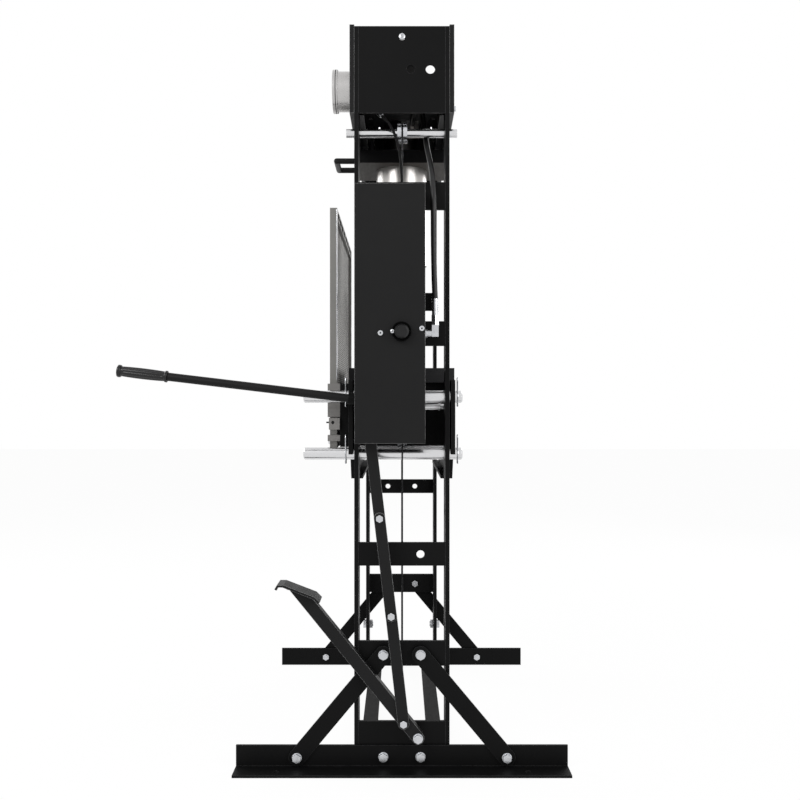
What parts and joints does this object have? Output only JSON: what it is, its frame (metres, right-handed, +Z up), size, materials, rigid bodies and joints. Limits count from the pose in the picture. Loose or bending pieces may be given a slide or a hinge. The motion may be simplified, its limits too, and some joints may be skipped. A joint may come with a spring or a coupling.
{
  "type": "workshop press",
  "caption": "Floor-standing hydraulic press with a hand and foot pump, a sliding ram, a lifting guard and a pinned bed on a cable.",
  "frame": {"origin": "on the floor, midway between the uprights and under the ram's axis when the carriage is in the middle", "axes": "+X to the operator's right, towards the pump side; +Y from the operator's side to the back; +Z up"},
  "size_m": [1.123, 1.0789, 1.8],
  "materials": {
    "sheet_black": "satin black paint with bright edges",
    "honed_steel": "honed steel",
    "cable_steel": "dark steel strands, greased",
    "black_paint": "satin black paint",
    "satin_black": "blackened steel",
    "zinc_steel": "bright zinc plating",
    "bright_steel": "ground steel",
    "chromed_rod": "hard chrome",
    "gauge_metal": "stainless steel",
    "dial_white": "white enamel",
    "gauge_glass": "clear",
    "needle_black": "matt black",
    "hose_rubber": "smooth black rubber",
    "grip_rubber": "ribbed black rubber",
    "pump_iron": "dark paint on cast iron",
    "knob_plastic": "black phenolic",
    "carriage_grey": "grey machined steel, oiled",
    "guide_alloy": "grey anodised",
    "guard_alloy": "grey anodised",
    "guard_mesh": "perforated sheet, grey"
  },
  "bodies": {
    "frame": {"right_posts": "black_paint", "left_posts": "black_paint", "right_cross_plates": "black_paint", "left_cross_plates": "black_paint", "front_head_beam": "sheet_black", "rear_head_beam": "sheet_black", "head_top_plate": "sheet_black", "right_foot": "black_paint", "left_foot": "black_paint", "side_braces": "black_paint", "base_ties": "black_paint", "frame_bolts": "zinc_steel", "bed_front_beam": "black_paint", "bed_rear_beam": "black_paint", "bed_spacers": "black_paint", "bed_tie_rods": "bright_steel", "bed_pins": "bright_steel", "pin_clips": "zinc_steel", "guard_guides": "guide_alloy", "guard_brackets": "black_paint", "gauge_case": "gauge_metal", "gauge_dial": "dial_white", "gauge_glass": "gauge_glass", "gauge_line": "black_paint", "hydraulic_hose": "hose_rubber", "hose_fittings": "zinc_steel", "pump_cover": "sheet_black", "pump_block": "pump_iron", "oil_tank": "sheet_black", "sheave_axles": "bright_steel", "lift_cable": "cable_steel", "winch_frame": "satin_black"},
    "needle": {"gauge_needle": "needle_black"},
    "knob": {"release_knob": "knob_plastic"},
    "lever": {"pump_rocker": "black_paint", "hand_lever": "sheet_black", "lever_grip": "grip_rubber"},
    "plunger": {"plunger": "bright_steel"},
    "pedal": {"pedal_arm": "sheet_black", "pedal_pad": "sheet_black"},
    "link": {"pull_link": "sheet_black", "link_bolts": "zinc_steel"},
    "carriage": {"ram_carriage": "carriage_grey", "ram_cylinder": "honed_steel", "cylinder_gland": "satin_black", "carriage_handle": "sheet_black"},
    "piston": {"piston_rod": "chromed_rod", "ram_nose": "satin_black"},
    "guard": {"guard_frame": "guard_alloy", "guard_panel": "guard_mesh"},
    "latch": {"guard_latch": "satin_black"},
    "top_sheave": {"top_sheave": "zinc_steel"},
    "right_foot_sheave": {"right_foot_sheave": "zinc_steel"},
    "left_foot_sheave": {"left_foot_sheave": "zinc_steel"},
    "right_bed_sheave": {"right_bed_sheave": "zinc_steel"},
    "left_bed_sheave": {"left_bed_sheave": "zinc_steel"},
    "winch": {"winch_drum": "bright_steel", "winch_crank": "satin_black"},
    "right_arbor_plate": {"right_arbor_plate": "satin_black"},
    "left_arbor_plate": {"left_arbor_plate": "satin_black"}
  },
  "joints": [
    {"name": "pump_lever", "type": "hinge", "parent": "frame", "child": "lever", "pos_m": [0.4705, -0.028, 0.86], "axis": [1, 0, 0], "range_deg": [0, 23], "stiffness_Nm_per_rad": 15, "springref_deg": -91.67},
    {"name": "pedal", "type": "hinge", "parent": "frame", "child": "pedal", "pos_m": [0.465, 0.0384, 0.0844], "axis": [1, 0, 0], "range_deg": [0, 30.1]},
    {"name": "link_pivot", "type": "hinge", "parent": "pedal", "child": "link", "pos_m": [0.4705, 0.0038, 0.1203], "axis": [1, 0, 0], "range_deg": [-32, 0]},
    {"name": "plunger_slide", "type": "slide", "parent": "frame", "child": "plunger", "axis": [0, 0, 1], "range_m": [0, 0.009]},
    {"name": "release_knob", "type": "hinge", "parent": "frame", "child": "knob", "pos_m": [0.53, -0.001, 1.048], "axis": [1, 0, 0], "range_deg": [0, 180]},
    {"name": "gauge_needle", "type": "hinge", "parent": "frame", "child": "needle", "pos_m": [0.359, -0.164, 1.66], "axis": [0, 1, 0], "range_deg": [0, 270], "stiffness_Nm_per_rad": 0.001, "springref_deg": -17.19},
    {"name": "carriage_slide", "type": "slide", "parent": "frame", "child": "carriage", "axis": [1, 0, 0], "range_m": [-0.15, 0.15], "deforming": ["hydraulic_hose"]},
    {"name": "piston_slide", "type": "slide", "parent": "carriage", "child": "piston", "axis": [0, 0, -1], "range_m": [0, 0.16], "stiffness_N_per_m": 1500, "springref_m": -0.15},
    {"name": "guard_slide", "type": "slide", "parent": "frame", "child": "guard", "axis": [0, 0, 1], "range_m": [0, 0.18]},
    {"name": "guard_latch", "type": "slide", "parent": "frame", "child": "latch", "axis": [-1, 0, 0], "range_m": [0, 0.005]},
    {"name": "top_sheave", "type": "hinge", "parent": "frame", "child": "top_sheave", "pos_m": [0.3875, 0.001, 1.548], "axis": [0, 1, 0], "continuous": true},
    {"name": "right_foot_sheave", "type": "hinge", "parent": "frame", "child": "right_foot_sheave", "pos_m": [0.3875, 0.001, 0.0585], "axis": [0, 1, 0], "continuous": true},
    {"name": "left_foot_sheave", "type": "hinge", "parent": "frame", "child": "left_foot_sheave", "pos_m": [-0.3875, 0.001, 0.0585], "axis": [0, 1, 0], "continuous": true},
    {"name": "right_bed_sheave", "type": "hinge", "parent": "frame", "child": "right_bed_sheave", "pos_m": [0.29, 0.001, 0.765], "axis": [0, 1, 0], "continuous": true},
    {"name": "left_bed_sheave", "type": "hinge", "parent": "frame", "child": "left_bed_sheave", "pos_m": [-0.29, 0.001, 0.765], "axis": [0, 1, 0], "continuous": true},
    {"name": "winch", "type": "hinge", "parent": "frame", "child": "winch", "pos_m": [-0.43, -0.0263, 1.15], "axis": [1, 0, 0], "continuous": true},
    {"name": "right_arbor_plate", "type": "slide", "parent": "frame", "child": "right_arbor_plate", "axis": [1, 0, 0], "range_m": [-0.015, 0.15]},
    {"name": "left_arbor_plate", "type": "slide", "parent": "frame", "child": "left_arbor_plate", "axis": [-1, 0, 0], "range_m": [-0.015, 0.15]}
  ],
  "couplings": [
    {"joint": "pedal", "follows": "pump_lever", "ratio": 1.3043},
    {"joint": "link_pivot", "follows": "pump_lever", "ratio": -1.3635},
    {"joint": "plunger_slide", "follows": "pump_lever", "m_per_rad": 0.02045}
  ]
}
